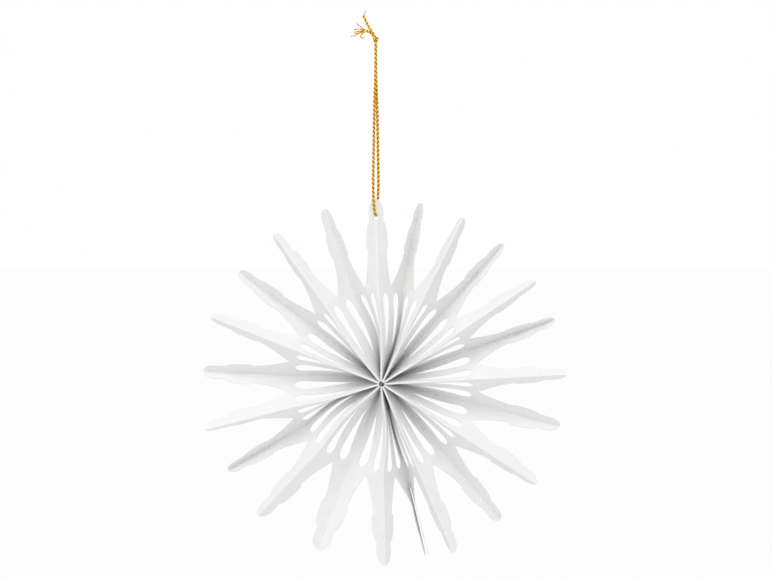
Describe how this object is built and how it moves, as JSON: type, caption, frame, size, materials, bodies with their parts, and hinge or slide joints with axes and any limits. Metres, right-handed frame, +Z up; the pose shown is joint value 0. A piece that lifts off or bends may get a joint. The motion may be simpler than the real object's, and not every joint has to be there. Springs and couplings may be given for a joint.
{
  "type": "paper snowflake decoration",
  "caption": "Pleated die-cut paper snowflake star with lobed points and teardrop slots, hung by its top point on a knotted loop of metallic cord.",
  "frame": {"origin": "hang point of the cord loop, right under its knot", "axes": "+Z up along the hanging loop, -Y the way the star's front faces, +X to the right seen from the front"},
  "size_m": [0.1249, 0.0159, 0.1881],
  "materials": {
    "card": "matt white card",
    "thread": "white cotton thread",
    "gold_cord": "gold metallic twisted cord"
  },
  "bodies": {
    "root": {"folded_star": "card", "centre_thread": "thread", "hanging_cord": "gold_cord", "cord_knot": "gold_cord"}
  },
  "joints": []
}
